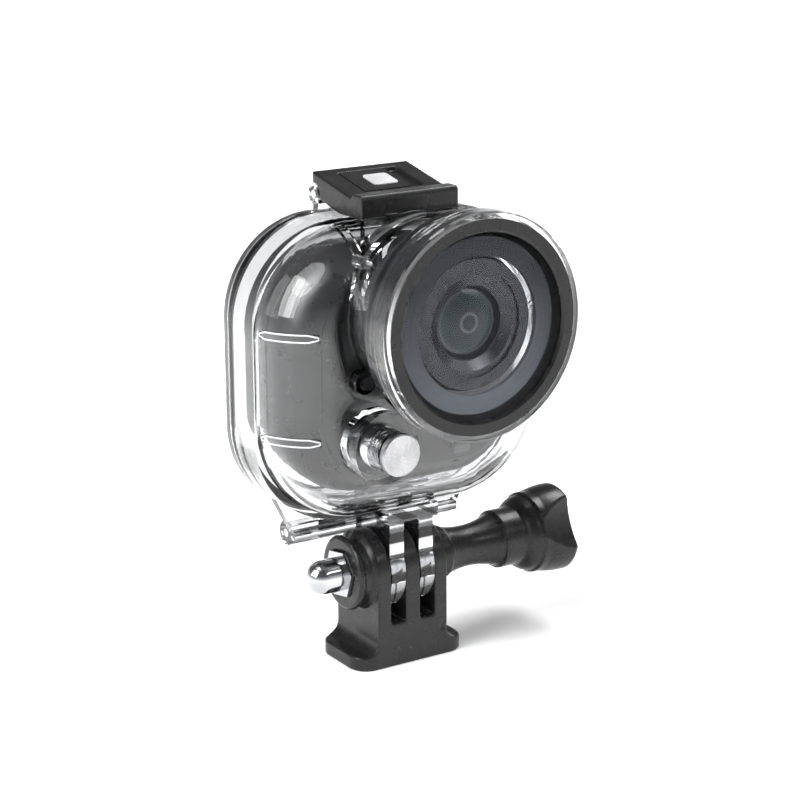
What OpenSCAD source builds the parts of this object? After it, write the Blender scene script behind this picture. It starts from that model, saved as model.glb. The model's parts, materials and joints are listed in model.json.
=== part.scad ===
// Action camera in a clear dive housing, on a three-prong tripod adapter.
// +Z is up, the lens looks along -Y, and +X is to the right as seen from the lens side.
// The origin is the mouth of the tripod thread, in the middle of the adapter's underside.

/* [Tripod adapter] */
// Height of the clamp bolt above the underside
axis_z = 17; // [15:0.5:22]
// Thickness of each outer prong
outer_prong = 2.7; // [2.2:0.1:3.5]
// Thickness of the middle prong
middle_prong = 3.1; // [2.6:0.1:3.8]
// Width of each slot between the prongs
slot_w = 3.1; // [2.8:0.1:3.8]
// Radius of the rounded prong tops
prong_r = 7.35; // [6.5:0.05:8.5]
// Height of the slot floor
slot_floor = 8.1; // [7.4:0.1:9.2]
// Width of the foot
foot_w = 23.2; // [19:0.2:28]
// Thickness of the foot at its rim
foot_t = 2.6; // [2:0.1:3.4]
// Radius of the cove between block and foot
cove_r = 2.4; // [1:0.1:2.4]
// Radius of the foot's corners
foot_corner_r = 3.6; // [1:0.1:4]
// Radius of the tripod screw hole
tripod_r = 3.2; // [3.1:0.05:3.4]
// Depth of the tripod screw hole
tripod_depth = 6; // [5:0.1:6.2]
// Outer radius of the brass thread insert
insert_r = 4.5; // [4:0.1:5.5]
// Radius of the nut boss
boss_r = 6.9; // [6:0.1:7.3]
// Length of the nut boss
boss_l = 3.4; // [3.1:0.1:6]

/* [Clamp bolt, nut and thumb screw] */
// Radius of the clamp bolt
bolt_r = 2.45; // [2.2:0.05:2.8]
// Nut size across its flats
nut_flats = 8; // [7.5:0.1:9]
// Length of the nut's hexagon
nut_hex_l = 3.6; // [3:0.1:4.4]
// How far the hexagon stands out of the boss
nut_proud = 0.7; // [0.2:0.1:1.5]
// Radius of the nut's dome
nut_dome_r = 3.15; // [2.9:0.05:3.8]
// Length of the thumb screw's plastic knob
knob_l = 29.4; // [26:0.2:36]
// Radius of the knob over its lobes
knob_r = 8.4; // [7.4:0.1:10]
// Length of the knob's lobed head
knob_head_l = 10.4; // [9:0.1:12]
// Radius of the knob's neck at its waist
knob_waist_r = 3.85; // [3.5:0.05:4.6]
// Radius of the collar behind the head
knob_collar_r = 5.5; // [4.8:0.1:6.4]
// Length of the collar behind the head
knob_collar_l = 4.2; // [3:0.1:5]
// Radius of the flange against the prong
knob_flange_r = 5; // [4.6:0.1:6.4]
// Depth of the finger scoops at the knob's end
scoop_depth = 2.3; // [1:0.1:2.6]

/* [Camera] */
// Width of the camera
cam_w = 49; // [44:0.5:60]
// Height of the camera
cam_h = 44.6; // [40:0.2:54]
// Depth of the camera without its lens
cam_d = 15.4; // [14:0.2:20]
// Corner radius of the camera seen from the front
cam_corner_r = 15.5; // [12:0.1:17]
// Radius round the camera's front edge
cam_edge_r = 8; // [6:0.1:9]
// Thickness of the camera's case
cam_wall = 1.5; // [1.2:0.1:2]
// How far the front plate's rim lies inside the camera's outline
cam_seam = 5; // [4:0.1:7]
// Height of the lens axis above the camera's middle
lens_up = 11.3; // [7:0.1:12]
// Radius of the lens unit where it leaves the case
lens_base_r = 12.2; // [11.6:0.1:12.6]
// Radius of the lens unit's outer tube
lens_tube_r = 11.7; // [11.3:0.1:12]
// Radius of the lens unit inside the case
lens_neck_r = 8; // [7.4:0.1:9]
// Length of the lens unit in front of the case
lens_l = 16.2; // [14:0.1:17]
// Radius of the lens bezel
bezel_r = 11.2; // [10:0.1:11.3]
// Radius of the front lens
lens_r = 6.3; // [5:0.1:7]

/* [Housing] */
// Thickness of the clear side walls
wall = 2.2; // [1.8:0.1:3]
// Thickness of the clear front wall
front_wall = 2; // [1.6:0.1:2.6]
// Corner radius of the housing seen from the front
house_corner_r = 19; // [16:0.1:21]
// Radius round the housing's front edge
house_edge_r = 12.5; // [10:0.1:14]
// Gap beside the camera
side_gap = 1.6; // [1.3:0.1:3]
// Gap above the camera
top_gap = 1.6; // [1.2:0.1:3]
// Gap below the camera
bottom_gap = 2.6; // [1.6:0.1:6]
// Gap in front of the camera
front_gap = 1.6; // [1.3:0.1:2.4]
// Gap behind the camera
rear_gap = 1.4; // [1:0.1:2.4]
// Height of the housing's bottom above the clamp bolt
housing_lift = 11.6; // [10.5:0.1:15]
// How far the camera's front face lies ahead of the clamp bolt
cam_ahead = 9.6; // [8:0.1:11]
// Thickness of the back door
door_t = 2.2; // [1.8:0.1:3]
// Gap between the front shell and the door
door_gap = 0.2; // [0.1:0.05:0.4]
// Width of the door seal
seal_w = 1.5; // [1.2:0.1:1.8]
// Height of the rim flange, front to back
flange_d = 8.6; // [6:0.1:10]
// How far the rim flange stands out from the walls
flange_step = 0.4; // [0.2:0.1:0.8]
// Thickness of the grip ribs
rib_t = 1.3; // [0.8:0.1:2]

/* [Port] */
// Outer radius of the port's rim
port_r = 19.6; // [18.5:0.1:22]
// Radius of the port behind its rim
port_head_r = 18.9; // [18:0.1:20]
// Radius of the port's neck
neck_r = 16.4; // [15.8:0.1:17]
// Radius of the port's bore
neck_bore_r = 14.6; // [13.8:0.1:14.8]
// How far the port stands out from the housing's front
port_l = 16.1; // [15:0.1:19]
// Outer radius of the black retaining ring
ring_r = 18.4; // [17.6:0.1:18.6]
// Radius of the clear view inside the ring
view_r = 16.1; // [14.5:0.1:16.4]
// Thickness of the port glass
glass_t = 1.6; // [1.3:0.1:2.6]

/* [Door hinge and latch] */
// Radius of the hinge barrel
hinge_r = 2.3; // [1.9:0.1:2.8]
// Radius of the hinge and latch pins
pin_r = 0.8; // [0.6:0.05:1.1]
// Height of the hinge axis above the clamp bolt
hinge_up = 6.6; // [6:0.1:8]
// Length of the door's hinge barrel
hinge_door_l = 24.6; // [20:0.2:27]
// Length of each housing knuckle
hinge_arm_l = 4.9; // [3:0.1:6]
// Width of the latch
latch_w = 19.8; // [16:0.2:22]
// Thickness of the latch's top plate
latch_t = 1.8; // [1.5:0.1:2.4]
// Thickness of the latch's sides and front
latch_wall = 2; // [1.5:0.1:2.6]
// Radius of the latch's hinge eye
latch_eye_r = 1.7; // [1.4:0.1:2]
// Width of the lock slider
slider_w = 9.4; // [7:0.1:9.8]
// Travel of the lock slider
slider_travel = 2.4; // [1.5:0.1:2.8]

/* [Push buttons] */
// Radius of the shutter button's cap
shutter_r = 3.75; // [3.2:0.05:4.4]
// Radius of the shutter button's boss
shutter_boss_r = 6.3; // [5.8:0.1:6.6]
// Distance of the shutter button left of the middle
shutter_x = 12.05; // [10.5:0.05:14]
// Distance of the shutter button below the camera's middle
shutter_down = 10.45; // [9.5:0.05:12]
// Radius of the mode button's cap
mode_r = 3; // [2.6:0.05:3.6]
// Radius of the mode button's boss
mode_boss_r = 5; // [4.6:0.1:5.6]
// Travel of both push buttons
push_travel = 1.2; // [0.8:0.1:1.4]

/* [Fits and clearances] */
// Radial clearance of pins and shafts that turn or slide
run_fit = 0.05; // [0.02:0.01:0.08]
// Radial clearance of pieces that are fixed together
fixed_fit = 0.02; // [0.01:0.01:0.05]
// Side clearance of the housing's prongs in their slots
prong_fit = 0.05; // [0.03:0.01:0.15]
// End clearance between moving pieces
end_gap = 0.3; // [0.2:0.05:0.6]

/* [Hidden] */
$fn = 96;
eps = 0.01;

black = [0.08, 0.08, 0.085];
steel = [0.75, 0.76, 0.78];
silver = [0.8, 0.8, 0.82];
clear = [0.86, 0.9, 0.92, 0.3];
rubber = [0.14, 0.14, 0.15];
case_grey = [0.3, 0.3, 0.31];

// --- Adapter sizes
block_w = 2 * outer_prong + middle_prong + 2 * slot_w;
block_x = block_w / 2;
slot_x = (middle_prong + slot_w) / 2;
hole_r = bolt_r + run_fit;
nut_end = -block_x - boss_l - nut_proud;
nut_start = nut_end + nut_hex_l;
nut_dome_l = 3.2;
nut_top_t = 1;
hex_turn = 20;
knob_start = block_x + prong_fit;
knob_end = knob_start + knob_l;
head_start = knob_end - knob_head_l;
bolt_head_r = bolt_r + 0.8;
bolt_head_l = 2.5;
bolt_in_knob = 11;
bolt_end = nut_end - nut_dome_l;

// --- Camera and housing planes
cam_front = -cam_ahead;
cam_back = cam_front + cam_d;
cam_bottom = axis_z + housing_lift + wall + bottom_gap;
cam_top = cam_bottom + cam_h;
cam_mid_z = (cam_bottom + cam_top) / 2;
lens_z = cam_mid_z + lens_up;
house_front = cam_front - front_gap - front_wall;
house_back = cam_back + rear_gap;
house_bottom = axis_z + housing_lift;
house_top = cam_top + top_gap + wall;
house_mid_z = (house_bottom + house_top) / 2;
house_hw = cam_w / 2 + side_gap + wall;
house_hh = (house_top - house_bottom) / 2;
shell_back = house_back - door_gap;
door_back = house_back + door_t;
flange_hw = house_hw + flange_step;
flange_hh = house_hh + flange_step;
flange_corner_r = house_corner_r - 1.6;

// --- Port planes, along -Y
port_front = house_front - port_l;
neck_front = port_front + 7.2;
rim_back = port_front + 3.4;
ring_lip_t = 0.6;
glass_front = port_front + ring_lip_t;
glass_back = glass_front + glass_t;
port_seal_t = 0.9;
seat_y = glass_back + port_seal_t;
glass_r = ring_r - 1.1;
seat_r = view_r - 0.9;
hood_wall = 0.8;
hood_l = 1.6;
hood_mouth_r = bezel_r + 0.7;
shell_bore_r = lens_base_r + 0.8;
bore_back = cam_front + 0.2;
stub_back = bore_back + 1.5;
screw_boss_l = 4;
upper_rib = 8.9;
lower_rib = 9.4;
rib_l = 9.4;
screw_angles = [215, 325];
peg_angles = [35, 145];
peg_r = 1.1;
screw_ring_r = neck_r + 1.6;
ear_r = 2;
ear_t = 2.4;
port_screw_r = 0.7;
port_screw_head_r = 1.15;
port_screw_head_t = 0.8;
port_screw_l = 4.4;

// --- Hinge and latch places
hinge_y = house_back + 0.8;
hinge_z = axis_z + hinge_up;
hinge_door_x = hinge_door_l / 2;
hinge_arm_x = hinge_door_x + end_gap;
hinge_end_x = hinge_arm_x + hinge_arm_l;
pivot_y = door_back - 0.1;
pivot_z = house_top + 2.8;
latch_x = latch_w / 2;
eye_w = 2.5;
eye_x = latch_x - eye_w;
latch_back = pivot_y + 0.3;
latch_back_top = pivot_z + 4;
latch_front = house_front + 6.3;
latch_bottom = house_top + flange_step + end_gap;
hook_drop = 0.9;
lip_l = 3.5;
lip_top = latch_bottom + 4.1;
plate_fall = 2.7;
plate_tilt = atan(plate_fall / (latch_back - latch_front - lip_l));
slider_d = 9;
slider_t = 0.7;
slider_y = -6.6;
slider_gap = 0.15;
recess_x = 0.2 - (slider_w + slider_travel) / 2;
recess_t = slider_t + 0.1;
guide_w = 3;
ridge_back = latch_front - 0.4;
ridge_t = 1.5;
ridge_top = latch_bottom + 0.45;
ridge_x = latch_x + 0.6;

// --- Push buttons: local z points outward from the housing's outer face
stem_r = 1.3;
o_ring_t = 0.8;
seal_bore_r = stem_r + fixed_fit + o_ring_t + run_fit;
stem_bore_r = stem_r + run_fit;
sleeve_wall = 0.75;
shutter_sleeve_l = 5.2;
shutter_boss_l = 4.8;
shutter_turns = 5;
mode_sleeve_l = 3;
mode_boss_l = 3.2;
mode_turns = 3;
pocket_floor = 1;
pocket_gap = 0.4;
sleeve_start = pocket_floor + push_travel + 0.8;
cap_t = 1.2;
spring_wire = 0.5;
coil_steps = 16;
coil_sides = 8;
clip_t = 0.4;
clip_r = 2.3;
clip_gap = 0.2;
button_rest_gap = 0.75;
button_ratio = 0.5 / 1.2;
cam_button_r = 3;
cam_button_t = 1.6;
mode_y = shell_back - mode_boss_r - 0.6;
mode_z = cam_mid_z + 2.5;
front_button_proud = -0.15;
side_button_proud = 0.15;

// --- Camera insides
board_t = 1;
board_y = cam_back - cam_wall - 2.2;
battery_size = [24, 6, 16];
screen_size = [30, 1, 22];
socket_size = [6, 3.4, 8];
socket_wall = 0.5;
side_cover_d = 6.4;
side_cover_h = 14;
side_cover_y = cam_front + 3.4;
side_cover_z = cam_mid_z - side_cover_h / 2;
inner_gap = 0.3;
lens_mount_l = 5.6;
cam_screw_r = 0.6;

// ---------- Shared shapes ----------

// Round bar along X
module bar_x(r, x0, x1, y, z) {
    translate([x0, y, z]) rotate([0, 90, 0]) cylinder(r = r, h = x1 - x0);
}

// Round bar along Y
module bar_y(r, y0, y1, x, z) {
    translate([x, y1, z]) rotate([90, 0, 0]) cylinder(r = r, h = y1 - y0);
}

// Box from its lowest to its highest corner
module block(a, b) {
    translate(a) cube(b - a);
}

// Rounded rectangle given by half sizes
module round_rect(hw, hh, r) {
    square([2 * hw, 2 * (hh - r)], center = true);
    square([2 * (hw - r), 2 * hh], center = true);
    for (x = [-1, 1])
        for (y = [-1, 1])
            translate([x * (hw - r), y * (hh - r)]) circle(r);
}

// Half section of a wall edge: reach outwards, depth up, rounded by r at the top
module edge_section(reach, depth, r) {
    intersection() {
        square([reach, depth]);
        union() {
            square([reach - r, depth]);
            square([reach, depth - r]);
            translate([reach - r, depth - r]) circle(r);
        }
    }
}

// Rounded-square tablet with a soft front edge, from y_back forward to y_front
module tablet(hw, hh, mid_z, corner_r, edge_r, y_back, y_front) {
    depth = y_back - y_front;
    translate([0, y_back, mid_z]) rotate([90, 0, 0]) {
        rotate([90, 0, 0]) linear_extrude(2 * (hh - corner_r), center = true)
            for (m = [0, 1]) mirror([m, 0]) edge_section(hw, depth, edge_r);
        for (s = [0, 1]) mirror([0, s, 0])
            translate([0, hh - corner_r, 0]) rotate([90, 0, 90])
                linear_extrude(2 * (hw - corner_r), center = true)
                    edge_section(corner_r, depth, edge_r);
        for (turn = [0, 1]) for (s = [0, 1]) mirror([turn, 0, 0]) mirror([0, s, 0])
            translate([hw - corner_r, hh - corner_r, 0])
                rotate_extrude(angle = 90) edge_section(corner_r, depth, edge_r);
    }
}

// Upright rounded-square plate from y_back forward to y_front
module upright(hw, hh, mid_z, r, y_back, y_front) {
    translate([0, y_back, mid_z]) rotate([90, 0, 0])
        linear_extrude(y_back - y_front) round_rect(hw, hh, r);
}

// Places children on the front face at the shutter button, z outward
module at_shutter() {
    translate([-shutter_x, house_front, cam_mid_z - shutter_down]) rotate([90, 0, 0]) children();
}

// Places children on the right side at the mode button, z outward
module at_mode() {
    translate([house_hw, mode_y, mode_z]) rotate([0, 90, 0]) children();
}

// Places children on the latch's sloping top, z out of the plate, y up the slope
module on_latch() {
    translate([0, latch_back, latch_back_top]) rotate([plate_tilt, 0, 0]) children();
}

// Port fixing places at the given angles
module at_port(angles) {
    for (a = angles)
        translate([screw_ring_r * cos(a), 0, lens_z + screw_ring_r * sin(a)]) children();
}

// ---------- Adapter ----------

module foot_outline() {
    translate([-foot_w / 2, 0]) square([foot_w, foot_t]);
    translate([-block_x, 0]) square([block_w, axis_z]);
    for (m = [0, 1]) mirror([m, 0]) translate([block_x, foot_t]) difference() {
        square(cove_r);
        translate([cove_r, cove_r]) circle(cove_r);
    }
}

module tripod_base() color(black) difference() {
    union() {
        intersection() {
            translate([0, prong_r, 0]) rotate([90, 0, 0]) linear_extrude(2 * prong_r) foot_outline();
            linear_extrude(axis_z) round_rect(foot_w / 2, prong_r, foot_corner_r);
        }
        bar_x(prong_r, -block_x, block_x, 0, axis_z);
        bar_x(boss_r, -block_x - boss_l + 0.5, -block_x + 1, 0, axis_z);
        translate([-block_x - boss_l, 0, axis_z]) rotate([0, 90, 0])
            cylinder(r1 = boss_r - 0.5, r2 = boss_r, h = 0.5);
    }
    for (s = [-1, 1])
        block([s * slot_x - slot_w / 2, -prong_r - 1, slot_floor],
              [s * slot_x + slot_w / 2, prong_r + 1, axis_z + prong_r + 1]);
    difference() {
        bar_x(boss_r + 1, -block_x - 2.4, -block_x - 0.5, 0, axis_z);
        bar_x(boss_r - 0.5, -block_x - 3, -block_x, 0, axis_z);
    }
    bar_x(hole_r, -block_x - boss_l - 1, block_x + 1, 0, axis_z);
    translate([-block_x - boss_l - 1, 0, axis_z]) rotate([0, 90, 0]) rotate([0, 0, hex_turn])
        cylinder(d = (nut_flats + 2 * fixed_fit) / cos(30), h = nut_start + block_x + boss_l + 1, $fn = 6);
    translate([0, 0, -1]) cylinder(r = insert_r + fixed_fit, h = tripod_depth + 1);
    bar_y(0.8, -prong_r - 1, -prong_r + 0.3, block_x - 1, 5.5);
}

module thread_insert() color([0.75, 0.6, 0.3]) difference() {
    cylinder(r = insert_r, h = tripod_depth);
    translate([0, 0, -1]) cylinder(r = tripod_r, h = tripod_depth + 2);
}

module acorn_nut() color(steel) difference() {
    union() {
        translate([nut_end, 0, axis_z]) rotate([0, 90, 0]) rotate([0, 0, hex_turn])
            cylinder(d = nut_flats / cos(30), h = nut_hex_l, $fn = 6);
        bar_x(nut_dome_r, nut_end - nut_dome_l, nut_end + 1, 0, axis_z);
        translate([nut_end - nut_dome_l, 0, axis_z]) sphere(nut_dome_r);
    }
    bar_x(hole_r, bolt_end - nut_top_t + eps, nut_start + 1, 0, axis_z);
}

module clamp_bolt() color(steel) {
    bar_x(bolt_r, bolt_end, knob_start + bolt_in_knob, 0, axis_z);
    bar_x(bolt_head_r, knob_start + bolt_in_knob - bolt_head_l, knob_start + bolt_in_knob, 0, axis_z);
}

// Half outline of the knob along its axis, without the scoops
module knob_outline() {
    neck_l = knob_l - knob_head_l - knob_collar_l;
    waist_x = 0.47 * neck_l + 1.5;
    neck_rise = knob_collar_r - knob_waist_r - 0.5;
    waist_half = neck_l - waist_x;
    waist_curve = (waist_half * waist_half + neck_rise * neck_rise) / (2 * neck_rise);
    flange_l = 3;
    head_x = knob_l - knob_head_l;
    back_r = 3;
    flare = 1.2;
    end_round = 0.7;
    flare_l = knob_head_l - back_r - end_round;
    flare_curve = (flare_l * flare_l + flare * flare) / (2 * flare);
    difference() {
        square([neck_l + 1, knob_collar_r - 0.5]);
        translate([waist_x, knob_waist_r + waist_curve]) circle(waist_curve, $fn = 200);
    }
    square([flange_l, knob_flange_r]);
    translate([neck_l, 0]) square([knob_collar_l + 1, knob_collar_r]);
    translate([head_x, 0]) square([knob_head_l, knob_r - flare - back_r]);
    translate([head_x + back_r, knob_r - flare - back_r]) circle(back_r);
    intersection() {
        translate([head_x + back_r, 0]) square([knob_head_l - back_r - end_round, knob_r]);
        translate([knob_l - end_round, knob_r - flare_curve]) circle(flare_curve, $fn = 240);
    }
    translate([head_x + back_r, 0]) square([knob_head_l - back_r, knob_r - end_round]);
    translate([knob_l - end_round, knob_r - end_round]) circle(end_round);
}

module thumb_knob() color(black) translate([knob_start, 0, axis_z]) {
    scoop_r = 15;
    scoop_tilt = 13;
    first_lobe = 97;
    difference() {
        rotate([0, 90, 0]) rotate_extrude() rotate([0, 0, 90]) mirror([0, 1]) knob_outline();
        for (i = [0:2]) rotate([first_lobe + 60 + 120 * i, 0, 0])
            translate([knob_l, knob_r - scoop_depth + scoop_r, 0]) rotate([0, 90, -scoop_tilt])
                cylinder(r = scoop_r, h = 3 * knob_head_l, center = true, $fn = 160);
        bar_x(bolt_r + fixed_fit, -1, bolt_in_knob - bolt_head_l, 0, 0);
        bar_x(bolt_head_r + fixed_fit, bolt_in_knob - bolt_head_l - eps, bolt_in_knob, 0, 0);
    }
}

// ---------- Housing ----------

module shell_prongs() {
    for (s = [-1, 1]) {
        x0 = s * slot_x - slot_w / 2 + prong_fit;
        x1 = s * slot_x + slot_w / 2 - prong_fit;
        bar_x(prong_r, x0, x1, 0, axis_z);
        block([x0, -prong_r + 0.7, axis_z], [x1, prong_r - 2.5, house_bottom + wall / 2]);
    }
    block([-slot_x - slot_w / 2 - 0.6, -prong_r, house_bottom - 1.4],
          [slot_x + slot_w / 2 + 0.6, prong_r - 2.5, house_bottom + wall / 2]);
}

module hinge_arms() {
    for (m = [0, 1]) mirror([m, 0, 0]) {
        bar_x(hinge_r, hinge_arm_x, hinge_end_x, hinge_y, hinge_z);
        translate([0, shell_back, 0]) rotate([90, 0, 0]) linear_extrude(wall)
            polygon([[hinge_arm_x, hinge_z - 1], [hinge_end_x, hinge_z - 1], [hinge_end_x, hinge_z + 0.6],
                     [hinge_end_x + 4, house_bottom + 3.4], [hinge_arm_x, house_bottom + 3]]);
    }
}

// Raised grip rib round the housing's edge at one height, on both sides
module side_rib(z, y_back) {
    rib_out = 0.7;
    intersection() {
        difference() {
            tablet(house_hw + rib_out, house_hh, house_mid_z, house_corner_r, house_edge_r + rib_out,
                   shell_back, house_front - rib_out);
            tablet(house_hw - 1, house_hh - 1, house_mid_z, house_corner_r - 1, house_edge_r - 1,
                   shell_back + 1, house_front + 1);
        }
        for (m = [0, 1]) mirror([m, 0, 0])
            block([house_hw - 6.6, house_front - 2, z - rib_t / 2],
                  [house_hw + 2, y_back, z + rib_t / 2]);
    }
}

// Two ribs that run over the top edge, one each side of the port
module top_ribs() {
    rib_out = 0.7;
    rib_x = 12.8;
    intersection() {
        difference() {
            tablet(house_hw, house_hh + rib_out, house_mid_z, house_corner_r, house_edge_r + rib_out,
                   shell_back, house_front - rib_out);
            tablet(house_hw - 1, house_hh - 1, house_mid_z, house_corner_r - 1, house_edge_r - 1,
                   shell_back + 1, house_front + 1);
        }
        for (m = [0, 1]) mirror([m, 0, 0])
            block([rib_x - rib_t / 2, house_front - 2, house_top - 7],
                  [rib_x + rib_t / 2, cam_front + 6, house_top + 2]);
    }
}

module button_boss(radius, length) {
    translate([0, 0, -0.6]) cylinder(r = radius, h = length + 0.6);
}

module button_bore(cap_radius, length, wall_t) {
    translate([0, 0, pocket_floor]) cylinder(r = cap_radius + pocket_gap, h = length);
    translate([0, 0, -wall_t + 0.8]) cylinder(r = seal_bore_r, h = wall_t + length);
    translate([0, 0, -wall_t - 2]) cylinder(r = stem_bore_r, h = wall_t + 2 + length);
}

module front_shell() color(clear) difference() {
    union() {
        tablet(house_hw, house_hh, house_mid_z, house_corner_r, house_edge_r, shell_back, house_front);
        upright(flange_hw, flange_hh, house_mid_z, flange_corner_r, shell_back, shell_back - flange_d);
        bar_y(neck_r, house_front, stub_back, 0, lens_z);
        at_port(screw_angles) bar_y(ear_r, house_front, house_front + screw_boss_l, 0, 0);
        shell_prongs();
        hinge_arms();
        side_rib(cam_mid_z + upper_rib, house_front + rib_l);
        side_rib(cam_mid_z - lower_rib, house_front + rib_l);
        top_ribs();
        block([-ridge_x, ridge_back - ridge_t, house_top - 3.4], [ridge_x, ridge_back, ridge_top]);
        block([-5.7, ridge_back - ridge_t - 0.6, house_top - 3], [-3.2, ridge_back, ridge_top + 0.3]);
        at_shutter() button_boss(shutter_boss_r, shutter_boss_l);
        at_mode() button_boss(mode_boss_r, mode_boss_l);
    }
    tablet(house_hw - wall, house_hh - wall, house_mid_z, house_corner_r - wall, house_edge_r - wall,
           shell_back + 1, house_front + front_wall);
    bar_y(shell_bore_r, house_front - 3, bore_back, 0, lens_z);
    at_shutter() button_bore(shutter_r, shutter_boss_l, front_wall);
    at_mode() button_bore(mode_r, mode_boss_l, wall);
    bar_x(hole_r, -block_x, block_x, 0, axis_z);
    bar_x(pin_r + fixed_fit, -hinge_end_x - 1, hinge_end_x + 1, hinge_y, hinge_z);
    at_port(screw_angles) bar_y(port_screw_r + fixed_fit, house_front - 4, house_front + 1.4, 0, 0);
}

module port_barrel() color(clear) difference() {
    union() {
        bar_y(neck_r, neck_front, house_front, 0, lens_z);
        bar_y(port_head_r, rim_back, neck_front, 0, lens_z);
        bar_y(port_r, port_front + 0.3, rim_back, 0, lens_z);
        translate([0, port_front + 0.3, lens_z]) rotate([90, 0, 0])
            cylinder(r1 = port_r, r2 = port_r - 0.3, h = 0.3);
        at_port(screw_angles) bar_y(ear_r, house_front - ear_t, house_front, 0, 0);
        at_port(peg_angles) bar_y(peg_r, house_front - ear_t - 0.6, house_front, 0, 0);
    }
    bar_y(neck_bore_r, port_front - 1, house_front + 1, 0, lens_z);
    bar_y(ring_r + fixed_fit, port_front - 1, seat_y, 0, lens_z);
    at_port(screw_angles) bar_y(port_screw_r + fixed_fit, house_front - 10, house_front + 1, 0, 0);
}

module port_glass() color([0.55, 0.6, 0.7, 0.4]) {
    bar_y(glass_r, glass_front, glass_back, 0, lens_z);
}

module port_seal() color(rubber) difference() {
    bar_y(glass_r, glass_back, seat_y, 0, lens_z);
    bar_y(seat_r, glass_back - 1, seat_y + 1, 0, lens_z);
}

// Black light shield between the port glass and the lens
module port_hood() color(black) {
    hood_front = glass_back + 0.1;
    hood_back = seat_y + hood_l;
    difference() {
        union() {
            bar_y(seat_r - fixed_fit, hood_front, seat_y - fixed_fit, 0, lens_z);
            bar_y(neck_bore_r - fixed_fit, hood_front, hood_back, 0, lens_z);
        }
        bar_y(hood_mouth_r, hood_front - 1, hood_back + 1, 0, lens_z);
        bar_y(neck_bore_r - fixed_fit - hood_wall, hood_front + hood_wall, hood_back + 1, 0, lens_z);
    }
}

module port_ring() color(black) difference() {
    bar_y(ring_r, port_front, seat_y, 0, lens_z);
    bar_y(glass_r + fixed_fit, glass_front, seat_y + 1, 0, lens_z);
    bar_y(view_r, port_front - 1, seat_y + 1, 0, lens_z);
    translate([0, port_front + 0.4, lens_z]) rotate([90, 0, 0])
        cylinder(r1 = view_r, r2 = view_r + 0.5, h = 0.5);
}

module port_screws() color(black) at_port(screw_angles) {
    head_y = house_front - ear_t - port_screw_head_t;
    bar_y(port_screw_head_r, head_y, house_front - ear_t, 0, 0);
    bar_y(port_screw_r, head_y + 0.3, head_y + port_screw_l, 0, 0);
}

module hinge_pin() color(steel) {
    bar_x(pin_r, -hinge_end_x, hinge_end_x, hinge_y, hinge_z);
}

// ---------- Camera ----------

module camera_solid(inset) {
    tablet(cam_w / 2 - inset, cam_h / 2 - inset, cam_mid_z, cam_corner_r - inset,
           cam_edge_r - inset, cam_back - inset, cam_front + inset);
}

// Outline of the camera's front plate, from front_y back to back_y
module plate_shape(grow, back_y, front_y) {
    upright(cam_w / 2 - cam_seam + grow, cam_h / 2 - cam_seam + grow, cam_mid_z,
            cam_corner_r - cam_seam + grow, back_y, front_y);
}

module camera_front() color(case_grey) difference() {
    intersection() {
        camera_solid(0);
        plate_shape(0, cam_front + cam_edge_r, cam_front - 1);
    }
    camera_solid(cam_wall);
    bar_y(lens_neck_r + fixed_fit, cam_front - 1, cam_front + cam_edge_r + 1, 0, lens_z);
    at_shutter() translate([0, 0, -12]) cylinder(r = cam_button_r + run_fit, h = 12);
    status_shape(fixed_fit, 3);
}

module camera_body() color(case_grey * 0.8) difference() {
    camera_solid(0);
    camera_solid(cam_wall);
    plate_shape(0.1, cam_front + cam_edge_r, cam_front - 1);
    block([-screen_size.x / 2 - fixed_fit, cam_back - screen_size.y, cam_mid_z - screen_size.z / 2 - fixed_fit],
          [screen_size.x / 2 + fixed_fit, cam_back + 1, cam_mid_z + screen_size.z / 2 + fixed_fit]);
    block([-cam_w, side_cover_y - fixed_fit, side_cover_z - fixed_fit],
          [-cam_w / 2 + cam_wall + 1, side_cover_y + side_cover_d + fixed_fit,
           side_cover_z + side_cover_h + fixed_fit]);
    at_mode() translate([0, 0, -wall - side_gap - 6]) cylinder(r = cam_button_r + run_fit, h = 7);
    camera_screw_places() bar_y(cam_screw_r + fixed_fit, -5, 5, 0, 0);
    bar_y(lens_neck_r + fixed_fit, cam_front, cam_front + cam_edge_r, 0, lens_z);
}

module camera_screw_places() {
    for (x = [-1, 1]) for (z = [-1, 1])
        translate([x * (cam_w / 2 - 7), cam_back - 1, cam_mid_z + z * (cam_h / 2 - 7)]) children();
}

module camera_screws() color(steel) camera_screw_places() {
    bar_y(cam_screw_r, -4.4, 1, 0, 0);
}

module side_cover() color(case_grey * 0.7) intersection() {
    difference() {
        camera_solid(0);
        camera_solid(cam_wall);
    }
    block([-cam_w, side_cover_y, side_cover_z],
          [-cam_w / 2 + cam_wall + 1, side_cover_y + side_cover_d, side_cover_z + side_cover_h]);
}

module rear_screen() color([0.05, 0.06, 0.09]) {
    block([-screen_size.x / 2, cam_back - screen_size.y, cam_mid_z - screen_size.z / 2],
          [screen_size.x / 2, cam_back, cam_mid_z + screen_size.z / 2]);
}

module battery() color([0.2, 0.3, 0.45]) {
    y0 = board_y - battery_size.y - inner_gap;
    z0 = cam_bottom + cam_wall + 1.2;
    translate([-1, 0, 0])
        block([-battery_size.x / 2 + 2, y0, z0], [battery_size.x / 2 + 2, y0 + battery_size.y, z0 + battery_size.z]);
}

module main_board() color([0.08, 0.35, 0.2]) difference() {
    upright(cam_w / 2 - cam_wall - 2, cam_h / 2 - cam_wall - 2, cam_mid_z, cam_corner_r - 4.5,
            board_y + board_t, board_y);
    camera_screw_places() bar_y(cam_screw_r + 0.4, -8, 2, 0, 0);
}

module image_sensor() color([0.15, 0.2, 0.3]) {
    block([-5.5, board_y - 1.4, lens_z - 4.5], [5.5, board_y, lens_z + 4.5]);
}

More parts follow.
